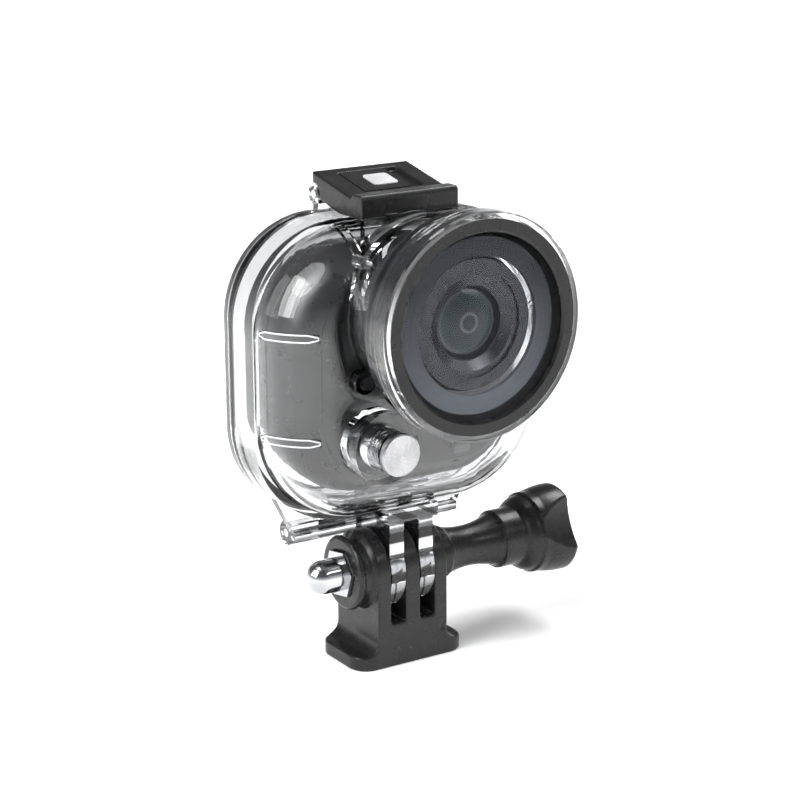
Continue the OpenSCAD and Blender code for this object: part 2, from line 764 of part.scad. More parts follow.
module usb_socket() color(steel)
    translate([-cam_w / 2 + cam_wall + 0.5, board_y - socket_size.y, side_cover_z + 3]) difference() {
        cube(socket_size);
        translate([-1, socket_wall, socket_wall])
            cube([socket_size.x, socket_size.y - 2 * socket_wall, socket_size.z - 2 * socket_wall]);
    }

module status_shape(grow, depth) {
    led_w = 3.4;
    led_h = 1.5;
    translate([8.5, cam_front + depth, cam_bottom + 6.4]) rotate([90, 0, 0])
        linear_extrude(depth + 1) round_rect(led_w / 2 + grow, led_h / 2 + grow, 0.6 + grow);
}

module status_window() color([0.5, 0.5, 0.52]) intersection() {
    status_shape(0, 1.3);
    camera_solid(0);
}

module lens_mount() color(black) {
    front = cam_front - lens_mount_l;
    difference() {
        union() {
            bar_y(lens_base_r, front + 0.8, cam_front, 0, lens_z);
            translate([0, front + 0.8, lens_z]) rotate([90, 0, 0])
                cylinder(r1 = lens_base_r, r2 = lens_base_r - 0.8, h = 0.8);
        }
        bar_y(lens_tube_r - 1 + fixed_fit, front - 2, cam_front + 1, 0, lens_z);
    }
}

module lens_tube() color(black) {
    front = cam_front - lens_l + 1.4;
    back = board_y - 1.4 - inner_gap;
    difference() {
        union() {
            bar_y(lens_tube_r, front, cam_front - lens_mount_l - inner_gap, 0, lens_z);
            bar_y(lens_tube_r - 1, cam_front - lens_mount_l - 1, cam_front, 0, lens_z);
            bar_y(lens_neck_r, cam_front - 1, back, 0, lens_z);
        }
        bar_y(lens_r + fixed_fit, front - 1, cam_front - lens_l + 7, 0, lens_z);
        bar_y(lens_r - 1.5, front - 1, back - 2, 0, lens_z);
        bar_y(lens_r - 1.3 + fixed_fit, back - 3.2, back + 1, 0, lens_z);
    }
}

// Stepped rings in front of the lens
module lens_bezel() color(black) {
    front = cam_front - lens_l;
    difference() {
        bar_y(bezel_r, front, front + 1.4, 0, lens_z);
        bar_y(lens_r + 0.2, front - 1, front + 2, 0, lens_z);
        bar_y(bezel_r - 1.9, front - 1, front + 0.45, 0, lens_z);
        translate([0, front + 1.4 - eps, lens_z]) rotate([90, 0, 0])
            cylinder(r1 = lens_r + 0.2, r2 = lens_r + 1.9, h = 0.95);
    }
}

module front_lens() color([0.2, 0.25, 0.3, 0.6]) {
    back = cam_front - lens_l + 7 - inner_gap;
    front = cam_front - lens_l + 2.6;
    bulge = 1.3;
    dome_r = (lens_r * lens_r + bulge * bulge) / (2 * bulge);
    bar_y(lens_r, front, back, 0, lens_z);
    intersection() {
        translate([0, front - bulge + dome_r, lens_z]) sphere(dome_r, $fn = 160);
        bar_y(lens_r, front - 2 * bulge, front + 0.1, 0, lens_z);
    }
}

module rear_lens() color([0.5, 0.6, 0.65, 0.6]) {
    back = board_y - 1.4 - inner_gap;
    bar_y(lens_r - 1.3, back - 3, back - 0.6, 0, lens_z);
}

module camera_button() {
    translate([0, 0, -cam_button_t]) cylinder(r = cam_button_r, h = cam_button_t);
    translate([0, 0, -cam_button_t - 0.5]) cylinder(r = 1.2, h = 1);
}

module camera_shutter_button() color(rubber) {
    at_shutter() translate([0, 0, -front_wall - front_gap + front_button_proud]) camera_button();
}

module camera_mode_button() color(rubber) {
    at_mode() translate([0, 0, -wall - side_gap + side_button_proud]) camera_button();
}

// ---------- Back door ----------

seal_inset = 0.5;
seal_hw = flange_hw - seal_inset;
seal_hh = flange_hh - seal_inset;
seal_corner_r = flange_corner_r - seal_inset;
seal_depth = 1.5;

module seal_band(grow, y_back, y_front) {
    difference() {
        upright(seal_hw + grow, seal_hh + grow, house_mid_z, seal_corner_r + grow, y_back, y_front);
        upright(seal_hw - seal_w - grow, seal_hh - seal_w - grow, house_mid_z,
                seal_corner_r - seal_w - grow, y_back + 1, y_front - 1);
    }
}

module door_seal() color(rubber) {
    seal_band(0, house_back + seal_depth, shell_back);
}

module door_eyes() {
    for (m = [0, 1]) mirror([m, 0, 0]) {
        bar_x(latch_eye_r, eye_x, latch_x, pivot_y, pivot_z);
        block([eye_x, pivot_y - latch_eye_r, house_top - 4], [latch_x, door_back, pivot_z]);
    }
}

module back_door() color(clear) difference() {
    union() {
        tablet_back();
        door_eyes();
        bar_x(hinge_r, -hinge_door_x, hinge_door_x, hinge_y, hinge_z);
        block([-hinge_door_x + 0.5, house_back, hinge_z], [hinge_door_x - 0.5, door_back, house_bottom + 2]);
    }
    seal_band(fixed_fit, house_back + seal_depth, house_back - 1);
    bar_x(pin_r + run_fit, -hinge_end_x, hinge_end_x, hinge_y, hinge_z);
    bar_x(pin_r + fixed_fit, -latch_x - 1, latch_x + 1, pivot_y, pivot_z);
}

// The door's panel with its soft outer edge, facing back
module tablet_back() {
    mirror([0, 1, 0])
        tablet(flange_hw, flange_hh, house_mid_z, flange_corner_r, 1.2, -house_back, -door_back);
}

module latch_pin() color(steel) {
    bar_x(pin_r, -latch_x, latch_x, pivot_y, pivot_z);
}

// ---------- Latch ----------

module latch_outline() {
    plate_z = latch_back_top - plate_fall;
    polygon([[latch_back, latch_back_top], [latch_back, latch_back_top - 2.2],
             [pivot_y - 2.4, pivot_z - 0.7], [pivot_y - 5.8, latch_bottom + 0.6],
             [pivot_y - 8.2, latch_bottom], [latch_front + latch_wall, latch_bottom],
             [latch_front + latch_wall, latch_bottom - hook_drop], [latch_front, latch_bottom - hook_drop],
             [latch_front, lip_top - 0.5], [latch_front + 0.5, lip_top],
             [latch_front + lip_l - 0.3, lip_top], [latch_front + lip_l, plate_z]]);
}

module latch_hollow() {
    polygon([[latch_front + latch_wall, latch_bottom - 1], [latch_front + latch_wall, latch_bottom + 1.6],
             [latch_back + 1, latch_back_top - latch_t + 0.2], [latch_back + 1, latch_bottom - 1]]);
}

module latch_lever() color(black) difference() {
    union() {
        difference() {
            translate([-latch_x, 0, 0]) rotate([90, 0, 90]) linear_extrude(latch_w) latch_outline();
            translate([-latch_x + latch_wall, 0, 0]) rotate([90, 0, 90])
                linear_extrude(latch_w - 2 * latch_wall) latch_hollow();
            for (m = [0, 1]) mirror([m, 0, 0])
                bar_x(latch_eye_r + end_gap, eye_x - end_gap, latch_x + 1, pivot_y, pivot_z);
        }
        bar_x(latch_eye_r, -eye_x + end_gap, eye_x - end_gap, pivot_y, pivot_z);
        block([-eye_x + end_gap, pivot_y - latch_eye_r, pivot_z], [eye_x - end_gap, latch_back, pivot_z + 3]);
    }
    bar_x(pin_r + run_fit, -latch_x - 1, latch_x + 1, pivot_y, pivot_z);
    on_latch() {
        block([recess_x - slider_gap, slider_y - slider_d / 2 - slider_gap, -recess_t],
              [recess_x + slider_w + slider_travel + slider_gap, slider_y + slider_d / 2 + slider_gap, 5]);
        block([recess_x + slider_w / 2 - guide_w / 2 - slider_gap, slider_y - guide_w / 2 - slider_gap, -5],
              [recess_x + slider_w / 2 + guide_w / 2 + slider_travel + slider_gap,
               slider_y + guide_w / 2 + slider_gap, 1]);
    }
}

module lock_slider() color(black) on_latch() {
    mid = recess_x + slider_w / 2;
    difference() {
        block([recess_x, slider_y - slider_d / 2, -recess_t + 0.05], [recess_x + slider_w, slider_y + slider_d / 2, 0]);
        slider_window(fixed_fit, 2);
    }
    block([mid - guide_w / 2, slider_y - guide_w / 2, -latch_t - 0.9], [mid + guide_w / 2, slider_y + guide_w / 2, -0.4]);
    block([mid - guide_w / 2 - 0.9, slider_y - guide_w / 2 - 0.9, -latch_t - 1.2],
          [mid + guide_w / 2 + 0.9, slider_y + guide_w / 2 + 0.9, -latch_t - 0.4]);
}

module slider_window(grow, height) {
    translate([recess_x + slider_w / 2 + 1, slider_y - 0.2, -0.4])
        linear_extrude(height) round_rect(2.5 + grow, 2.4 + grow, 0.8);
}

module slider_grip() color(clear) on_latch() {
    slider_window(0, 0.55);
}

// ---------- Push buttons ----------

module push_cap(radius, sleeve_l) {
    top = sleeve_start + sleeve_l;
    translate([0, 0, top]) cylinder(r = radius, h = cap_t - 0.25);
    translate([0, 0, top + cap_t - 0.25]) cylinder(r1 = radius, r2 = radius - 0.25, h = 0.25);
}

module push_sleeve(radius, sleeve_l) {
    difference() {
        translate([0, 0, sleeve_start]) cylinder(r = radius - 0.15, h = sleeve_l);
        translate([0, 0, sleeve_start - 1]) cylinder(r = radius - sleeve_wall, h = sleeve_l);
        cylinder(r = stem_r + fixed_fit, h = sleeve_start + sleeve_l - 0.3);
    }
}

module push_stem(sleeve_l, wall_t, gap, proud) {
    tip = -wall_t - gap + proud + button_rest_gap;
    translate([0, 0, tip]) cylinder(r = stem_r, h = sleeve_start + sleeve_l - 0.3 - tip);
}

module push_o_ring() {
    translate([0, 0, o_ring_t / 2 + 0.2]) rotate_extrude()
        translate([stem_r + fixed_fit + o_ring_t / 2, 0]) circle(o_ring_t / 2, $fn = 32);
}

module push_clip(wall_t) {
    translate([0, 0, -wall_t - clip_gap - clip_t]) difference() {
        cylinder(r = clip_r, h = clip_t);
        translate([0, 0, -1]) cylinder(r = stem_r + fixed_fit, h = clip_t + 2);
    }
}

// Corners of the coil's wire: one ring of them at each step round the helix
function coil_ring(a, mean_r, z) = [
    for (k = [0:coil_sides - 1])
        let (c = 360 * k / coil_sides, reach = mean_r + spring_wire / 2 * cos(c))
            [reach * cos(a), reach * sin(a), z + spring_wire / 2 * sin(c)]
];

module push_spring(radius, sleeve_l, turns) {
    low = pocket_floor + spring_wire / 2 + eps;
    high = sleeve_start + sleeve_l - 1 - spring_wire / 2 - eps;
    mean_r = radius - sleeve_wall - 0.15 - spring_wire / 2 - eps;
    steps = turns * coil_steps;
    points = [for (i = [0:steps]) each coil_ring(360 * i / coil_steps, mean_r, low + (high - low) * i / steps)];
    sides = [for (i = [0:steps - 1]) for (k = [0:coil_sides - 1])
        let (n = (k + 1) % coil_sides, a = i * coil_sides, b = a + coil_sides)
            each [[a + k, b + k, b + n], [a + k, b + n, a + n]]];
    start_cap = [[for (k = [0:coil_sides - 1]) k]];
    end_cap = [[for (k = [coil_sides - 1:-1:0]) steps * coil_sides + k]];
    polyhedron(points, concat(sides, start_cap, end_cap));
}

module shutter_cap() color(silver) at_shutter() push_cap(shutter_r, shutter_sleeve_l);
module shutter_sleeve() color(clear) at_shutter() push_sleeve(shutter_r, shutter_sleeve_l);
module shutter_stem() color(steel)
    at_shutter() push_stem(shutter_sleeve_l, front_wall, front_gap, front_button_proud);
module shutter_o_ring() color(rubber) at_shutter() push_o_ring();
module shutter_clip() color(steel) at_shutter() push_clip(front_wall);
module shutter_spring() color(steel) at_shutter() push_spring(shutter_r, shutter_sleeve_l, shutter_turns);

module mode_cap() color(silver) at_mode() push_cap(mode_r, mode_sleeve_l);
module mode_sleeve() color(clear) at_mode() push_sleeve(mode_r, mode_sleeve_l);
module mode_stem() color(steel) at_mode() push_stem(mode_sleeve_l, wall, side_gap, side_button_proud);
module mode_o_ring() color(rubber) at_mode() push_o_ring();
module mode_clip() color(steel) at_mode() push_clip(wall);
module mode_spring() color(steel) at_mode() push_spring(mode_r, mode_sleeve_l, mode_turns);

// ---------- Nodes ----------

tripod_base();
thread_insert();
acorn_nut();
clamp_bolt();
thumb_knob();
front_shell();
port_barrel();
port_hood();
port_glass();
port_seal();
port_ring();
port_screws();
hinge_pin();
camera_front();
camera_body();
camera_screws();
side_cover();
rear_screen();
battery();
main_board();
image_sensor();
usb_socket();
status_window();
lens_mount();
lens_tube();
lens_bezel();
front_lens();
rear_lens();
back_door();
door_seal();
latch_pin();
latch_lever();
lock_slider();
slider_grip();
shutter_cap();
shutter_sleeve();
shutter_stem();
shutter_o_ring();
shutter_clip();
shutter_spring();
camera_shutter_button();
mode_cap();
mode_sleeve();
mode_stem();
mode_o_ring();
mode_clip();
mode_spring();
camera_mode_button();
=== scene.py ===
# Small action camera in a clear dive housing, on a three-prong tripod adapter
import bpy
import bmesh
import json
import math
from mathutils import Matrix, Vector

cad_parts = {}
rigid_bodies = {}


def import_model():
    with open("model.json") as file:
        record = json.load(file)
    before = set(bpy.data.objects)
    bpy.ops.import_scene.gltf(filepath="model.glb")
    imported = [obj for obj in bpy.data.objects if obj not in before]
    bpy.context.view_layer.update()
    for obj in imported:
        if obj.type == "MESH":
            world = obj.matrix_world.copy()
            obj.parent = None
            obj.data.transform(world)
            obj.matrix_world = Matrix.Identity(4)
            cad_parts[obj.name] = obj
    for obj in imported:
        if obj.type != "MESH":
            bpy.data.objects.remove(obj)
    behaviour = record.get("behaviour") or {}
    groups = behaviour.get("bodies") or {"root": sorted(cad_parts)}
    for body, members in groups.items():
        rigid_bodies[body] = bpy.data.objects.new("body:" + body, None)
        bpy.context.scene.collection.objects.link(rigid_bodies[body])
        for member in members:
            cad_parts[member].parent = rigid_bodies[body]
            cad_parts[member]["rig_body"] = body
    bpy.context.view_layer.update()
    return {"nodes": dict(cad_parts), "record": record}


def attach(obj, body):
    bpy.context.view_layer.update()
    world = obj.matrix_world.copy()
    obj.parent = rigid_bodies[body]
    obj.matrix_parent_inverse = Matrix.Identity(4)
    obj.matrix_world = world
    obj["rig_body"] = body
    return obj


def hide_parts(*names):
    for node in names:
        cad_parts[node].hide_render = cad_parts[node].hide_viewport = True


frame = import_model()
nodes = frame["nodes"]

mm = 0.001

view = {
    "place": (-0.20039, -0.31744, 0.15477),
    "turn": -32.517,      # round the upright axis
    "rise": 15.917,       # looking down by this much
    "roll": -0.299,
    "lens": 98.2,
    "sensor": 36,
    "near": 0.01,
    "far": 50,
}


def makeCamera():
    data = bpy.data.cameras.new("studioCamera")
    data.lens = view["lens"]
    data.sensor_width = view["sensor"]
    data.clip_start = view["near"]
    data.clip_end = view["far"]
    cam = bpy.data.objects.new("studioCamera", data)
    bpy.context.scene.collection.objects.link(cam)
    cam.location = view["place"]
    turn = Matrix.Rotation(math.radians(view["turn"]), 3, "Z")
    tilt = Matrix.Rotation(math.radians(90 - view["rise"]), 3, "X")
    roll = Matrix.Rotation(math.radians(view["roll"]), 3, "Z")
    cam.rotation_euler = (turn @ tilt @ roll).to_euler()
    bpy.context.scene.camera = cam


studio = {
    "floorSize": 8.0,
    "floorColor": (0.93, 0.93, 0.93, 1),
    "floorRough": 0.9,
    "floorGloss": 0.1,
    "floorDrop": 0.00005,     # keeps the floor just clear of the foot
    # how bright the room is at each height, from level to overhead
    "room": [(0.0, 0.95), (0.16, 0.62), (0.34, 0.15), (1.0, 0.10)],
    "roomBlue": 1.02,         # a touch cooler than grey
    # name, direction it comes from, how wide it looks in degrees, power
    "suns": [
        ("keySun", (-0.54, -0.07, 0.78), 40, 2.2),
        ("fillSun", (0.62, -0.50, 0.60), 50, 1.3),
    ],
    # name, place, aim, width, height, power
    "boxes": [
        ("keyPanel", (-0.80, -0.06, 0.56), (0, 0, 0.06), 0.36, 0.66, 6.0),
        ("dimPanel", (-0.80, 0.34, 0.50), (0, 0, 0.06), 0.26, 0.62, 1.2),
        ("topPanel", (0.50, 0.14, 0.88), (0, 0, 0.07), 0.46, 0.40, 5.6),
        ("rightStrip", (0.80, 0.25, 0.42), (0, 0, 0.06), 0.12, 0.60, 1.3),
        ("frontStrip", (0.30, -0.75, 0.62), (0, 0, 0.06), 0.50, 0.12, 0.9),
    ],
}


def makeFloor():
    half = studio["floorSize"] / 2
    mesh = bpy.data.meshes.new("floor")
    corners = [(-half, -half, 0), (half, -half, 0), (half, half, 0), (-half, half, 0)]
    mesh.from_pydata(corners, [], [(0, 1, 2, 3)])
    floor = bpy.data.objects.new("floor", mesh)
    bpy.context.scene.collection.objects.link(floor)
    floor.location.z = -studio["floorDrop"]
    mat, _, skin = newMaterial("paperSweep")
    skin.inputs["Base Color"].default_value = studio["floorColor"]
    skin.inputs["Roughness"].default_value = studio["floorRough"]
    skin.inputs["Specular IOR Level"].default_value = studio["floorGloss"]
    floor.data.materials.append(mat)


def makeSky():
    world = bpy.data.worlds.new("studioSky")
    bpy.context.scene.world = world
    world.use_nodes = True
    tree = world.node_tree
    tree.nodes.clear()
    coord = tree.nodes.new("ShaderNodeTexCoord")
    split = tree.nodes.new("ShaderNodeSeparateXYZ")
    ramp = tree.nodes.new("ShaderNodeValToRGB")
    light = tree.nodes.new("ShaderNodeBackground")
    out = tree.nodes.new("ShaderNodeOutputWorld")
    steps = ramp.color_ramp.elements
    while len(steps) < len(studio["room"]):
        steps.new(0.5)
    for step, (height, level) in zip(steps, studio["room"]):
        step.position = height
        step.color = (level, level, studio["roomBlue"] * level, 1)
    tree.links.new(coord.outputs["Generated"], split.inputs[0])
    tree.links.new(split.outputs["Z"], ramp.inputs["Fac"])
    tree.links.new(ramp.outputs["Color"], light.inputs["Color"])
    tree.links.new(light.outputs["Background"], out.inputs["Surface"])


def pointLamp(lamp, place, aim):
    bpy.context.scene.collection.objects.link(lamp)
    lamp.location = place
    lamp.rotation_euler = (Vector(aim) - Vector(place)).to_track_quat("-Z", "Y").to_euler()
    lamp.visible_camera = False


def makeLights():
    for name, direction, width, power in studio["suns"]:
        data = bpy.data.lights.new(name, "SUN")
        data.angle = math.radians(width)
        data.energy = power
        sun = bpy.data.objects.new(name, data)
        pointLamp(sun, direction, (0, 0, 0))
        # the panels give the highlights
        sun.visible_glossy = False
    for name, place, aim, width, height, power in studio["boxes"]:
        data = bpy.data.lights.new(name, "AREA")
        data.shape = "RECTANGLE"
        data.size = width
        data.size_y = height
        data.energy = power
        pointLamp(bpy.data.objects.new(name, data), place, aim)


def newMaterial(name):
    mat = bpy.data.materials.new(name)
    mat.use_nodes = True
    tree = mat.node_tree
    skin = tree.nodes["Principled BSDF"]
    return mat, tree, skin


def addNoise(tree, scale, detail=3.0, rough=0.5, stretch=None):
    # noise in the part's own metres
    coord = tree.nodes.new("ShaderNodeTexCoord")
    noise = tree.nodes.new("ShaderNodeTexNoise")
    noise.inputs["Scale"].default_value = scale
    noise.inputs["Detail"].default_value = detail
    noise.inputs["Roughness"].default_value = rough
    source = coord.outputs["Object"]
    if stretch:
        mapping = tree.nodes.new("ShaderNodeMapping")
        mapping.inputs["Scale"].default_value = stretch
        tree.links.new(source, mapping.inputs["Vector"])
        source = mapping.outputs["Vector"]
    tree.links.new(source, noise.inputs["Vector"])
    return noise.outputs["Fac"]


def spread(tree, source, low, high, fromLow=0.3, fromHigh=0.7):
    node = tree.nodes.new("ShaderNodeMapRange")
    node.inputs["From Min"].default_value = fromLow
    node.inputs["From Max"].default_value = fromHigh
    node.inputs["To Min"].default_value = low
    node.inputs["To Max"].default_value = high
    tree.links.new(source, node.inputs["Value"])
    return node.outputs["Result"]


def blendColors(tree, source, first, second, fromLow=0.3, fromHigh=0.7):
    ramp = tree.nodes.new("ShaderNodeValToRGB")
    ramp.color_ramp.elements[0].position = fromLow
    ramp.color_ramp.elements[0].color = (*first, 1)
    ramp.color_ramp.elements[1].position = fromHigh
    ramp.color_ramp.elements[1].color = (*second, 1)
    tree.links.new(source, ramp.inputs["Fac"])
    return ramp.outputs["Color"]


def addBump(tree, skin, source, strength, distance):
    bump = tree.nodes.new("ShaderNodeBump")
    bump.inputs["Strength"].default_value = strength
    bump.inputs["Distance"].default_value = distance
    tree.links.new(source, bump.inputs["Height"])
    tree.links.new(bump.outputs["Normal"], skin.inputs["Normal"])


def letLampsThrough(tree, skin, tint):
    # shadow rays pass through, so light reaches what stands behind the clear parts
    rays = tree.nodes.new("ShaderNodeLightPath")
    clear = tree.nodes.new("ShaderNodeBsdfTransparent")
    clear.inputs["Color"].default_value = (*tint, 1)
    mix = tree.nodes.new("ShaderNodeMixShader")
    out = tree.nodes["Material Output"]
    tree.links.new(rays.outputs["Is Shadow Ray"], mix.inputs["Fac"])
    tree.links.new(skin.outputs["BSDF"], mix.inputs[1])
    tree.links.new(clear.outputs["BSDF"], mix.inputs[2])
    tree.links.new(mix.outputs["Shader"], out.inputs["Surface"])


clearCast = {
    "tint": (0.80, 0.805, 0.81),
    "tintDrift": 0.985,       # how dark the tint gets in places
    "driftScale": 120,
    "ior": 1.5,
    "rough": 0.02,
    "smoothest": 0.4,         # share of the roughness left where it is clearest
    "smearScale": 160,
    "waveScale": 60,
    "wave": 0.06,
    "waveDepth": 0.0004,
}


def clearPlastic(name, tint=None, wave=None, rough=None, ior=None):
    mat, tree, skin = newMaterial(name)
    tint = tint or clearCast["tint"]
    dull = tuple(clearCast["tintDrift"] * c for c in tint)
    drift = addNoise(tree, clearCast["driftScale"], 2)
    tree.links.new(blendColors(tree, drift, dull, tint), skin.inputs["Base Color"])
    skin.inputs["Transmission Weight"].default_value = 1
    skin.inputs["IOR"].default_value = ior or clearCast["ior"]
    smear = rough or clearCast["rough"]
    patches = addNoise(tree, clearCast["smearScale"], 2)
    tree.links.new(spread(tree, patches, clearCast["smoothest"] * smear, smear), skin.inputs["Roughness"])
    ripple = addNoise(tree, clearCast["waveScale"], 1)
    addBump(tree, skin, ripple, wave or clearCast["wave"], clearCast["waveDepth"])
    letLampsThrough(tree, skin, tint)
    return mat


mouldedSkin = {
    "driftScale": 240,
    "patchScale": 420,
    "glossier": 0.05,         # how far the roughness wanders down and up
    "duller": 0.07,
    "grainDepth": 0.00005,
}


def mouldedPlastic(name, dark, light, rough, grainScale=2600, grain=0.08, sheen=0.5):
    # satin plastic: faint colour drift, patchy gloss and a fine spark-eroded grain
    mat, tree, skin = newMaterial(name)
    drift = addNoise(tree, mouldedSkin["driftScale"], 4)
    tree.links.new(blendColors(tree, drift, dark, light), skin.inputs["Base Color"])
    patches = addNoise(tree, mouldedSkin["patchScale"], 3)
    uneven = spread(tree, patches, rough - mouldedSkin["glossier"], rough + mouldedSkin["duller"])
    tree.links.new(uneven, skin.inputs["Roughness"])
    skin.inputs["Specular IOR Level"].default_value = sheen
    addBump(tree, skin, addNoise(tree, grainScale, 2), grain, mouldedSkin["grainDepth"])
    return mat


def glossyCase(name, dark, light, rough, ior):
    # camera case: the same moulding with a stronger gloss, from a raised IOR
    mat = mouldedPlastic(name, dark, light, rough, 1500, 0.015)
    mat.node_tree.nodes["Principled BSDF"].inputs["IOR"].default_value = ior
    return mat


lensMiddle = (0, 0, 0.067)    # the lens axis runs front to back through here

lensFace = {
    # radius in metres, painted colour there
    "rings": [
        (0.0, (0.030, 0.036, 0.034)),
        (0.0011, (0.012, 0.014, 0.013)),
        (0.0016, (0.085, 0.095, 0.088)),
        (0.0020, (0.020, 0.024, 0.022)),
        (0.0040, (0.016, 0.026, 0.022)),
        (0.0050, (0.030, 0.040, 0.036)),
        (0.0054, (0.075, 0.082, 0.080)),
        (0.0058, (0.018, 0.020, 0.020)),
        (0.0065, (0.030, 0.032, 0.034)),
    ],
    "rough": 0.06,
    "ior": 1.42,
}


def paintedRingLens(name):
    # opaque stand-in for the coated lens: dark green-grey rings painted on the polished face, the lighter
    # ones painted reflections of the lens elements, the darker ones painted shade of its depth
    mat, tree, skin = newMaterial(name)
    coord = tree.nodes.new("ShaderNodeTexCoord")
    move = tree.nodes.new("ShaderNodeMapping")
    move.inputs["Location"].default_value = tuple(-c for c in lensMiddle)
    flat = tree.nodes.new("ShaderNodeVectorMath")
    flat.operation = "MULTIPLY"
    flat.inputs[1].default_value = (1, 0, 1)
    far = tree.nodes.new("ShaderNodeVectorMath")
    far.operation = "LENGTH"
    ramp = tree.nodes.new("ShaderNodeValToRGB")
    tree.links.new(coord.outputs["Object"], move.inputs["Vector"])
    tree.links.new(move.outputs["Vector"], flat.inputs[0])
    tree.links.new(flat.outputs["Vector"], far.inputs[0])
    outer = lensFace["rings"][-1][0]
    steps = ramp.color_ramp.elements
    while len(steps) < len(lensFace["rings"]):
        steps.new(0.5)
    # painted reflections and painted shade, laid out as rings round the lens axis
    for step, (radius, color) in zip(steps, lensFace["rings"]):
        step.position = radius / outer
        step.color = (*color, 1)
    tree.links.new(spread(tree, far.outputs["Value"], 0.0, 1.0, 0.0, outer), ramp.inputs["Fac"])
    tree.links.new(ramp.outputs["Color"], skin.inputs["Base Color"])
    uneven = spread(tree, addNoise(tree, 300, 2), 0.7 * lensFace["rough"], 1.3 * lensFace["rough"])
    tree.links.new(uneven, skin.inputs["Roughness"])
    skin.inputs["IOR"].default_value = lensFace["ior"]
    return mat


hoodFace = {
    "half": 0.0150,           # how far the painted shading runs above and below the axis
    # painted shade: the hood's colour at the top and at the bottom
    "top": (0.012, 0.013, 0.015),
    "bottom": (0.115, 0.120, 0.130),
    "ringScale": 300,
    "ringStrength": 0.25,
    "ringDepth": 0.00006,
    "smooth": 0.42,
    "dull": 0.52,
    "gloss": 0.35,
}


def hoodPaintedShade(name):
    # anodised hood with faint turned rings; its colour is painted shade by height, dark at the top and
    # slate below
    mat, tree, skin = newMaterial(name)
    coord = tree.nodes.new("ShaderNodeTexCoord")
    move = tree.nodes.new("ShaderNodeMapping")
    move.inputs["Location"].default_value = tuple(-c for c in lensMiddle)
    split = tree.nodes.new("ShaderNodeSeparateXYZ")
    rings = tree.nodes.new("ShaderNodeTexWave")
    rings.wave_type = "RINGS"
    rings.rings_direction = "Y"
    rings.inputs["Scale"].default_value = hoodFace["ringScale"]
    rings.inputs["Distortion"].default_value = 0.0
    tree.links.new(coord.outputs["Object"], move.inputs["Vector"])
    tree.links.new(move.outputs["Vector"], split.inputs[0])
    tree.links.new(move.outputs["Vector"], rings.inputs["Vector"])
    half = hoodFace["half"]
    height = spread(tree, split.outputs["Z"], 0.0, 1.0, -half, half)
    # painted shade: darker towards the top, lighter slate towards the bottom
    tree.links.new(blendColors(tree, height, hoodFace["bottom"], hoodFace["top"], 0.0, 0.75),
                   skin.inputs["Base Color"])
    uneven = spread(tree, addNoise(tree, 420, 3), hoodFace["smooth"], hoodFace["dull"])
    tree.links.new(uneven, skin.inputs["Roughness"])
    skin.inputs["Specular IOR Level"].default_value = hoodFace["gloss"]
    addBump(tree, skin, rings.outputs["Fac"], hoodFace["ringStrength"], hoodFace["ringDepth"])
    return mat


def brightMetal(name, color, rough, brush=(1, 1, 1), brushScale=900, depth=0.05):
    mat, tree, skin = newMaterial(name)
    skin.inputs["Metallic"].default_value = 1
    tone = tuple(0.86 * c for c in color)
    tree.links.new(blendColors(tree, addNoise(tree, 300, 3), tone, color), skin.inputs["Base Color"])
    fine = addNoise(tree, brushScale, 4, 0.6, brush)
    tree.links.new(spread(tree, fine, rough * 0.7, rough * 1.4), skin.inputs["Roughness"])
    addBump(tree, skin, fine, depth, 0.00004)
    return mat


def spunMetal(name, color, rough):
    # turned face: gloss stretched round the button's axis, with no rings in the shape
    mat, tree, skin = newMaterial(name)
    skin.inputs["Metallic"].default_value = 1
    skin.inputs["Anisotropic"].default_value = 0.9
    tangent = tree.nodes.new("ShaderNodeTangent")
    tangent.direction_type = "RADIAL"
    tangent.axis = "Y"
    tree.links.new(tangent.outputs["Tangent"], skin.inputs["Tangent"])
    tree.links.new(blendColors(tree, addNoise(tree, 500, 2), tuple(0.93 * c for c in color), color),
                   skin.inputs["Base Color"])
    uneven = spread(tree, addNoise(tree, 1800, 3), rough * 0.8, rough * 1.25)
    tree.links.new(uneven, skin.inputs["Roughness"])
    return mat


def softRubber(name, dark, light):
    mat, tree, skin = newMaterial(name)
    tree.links.new(blendColors(tree, addNoise(tree, 500, 4), dark, light), skin.inputs["Base Color"])
    tree.links.new(spread(tree, addNoise(tree, 700, 2), 0.55, 0.75), skin.inputs["Roughness"])
    addBump(tree, skin, addNoise(tree, 3200, 2), 0.2, 0.00004)
    return mat


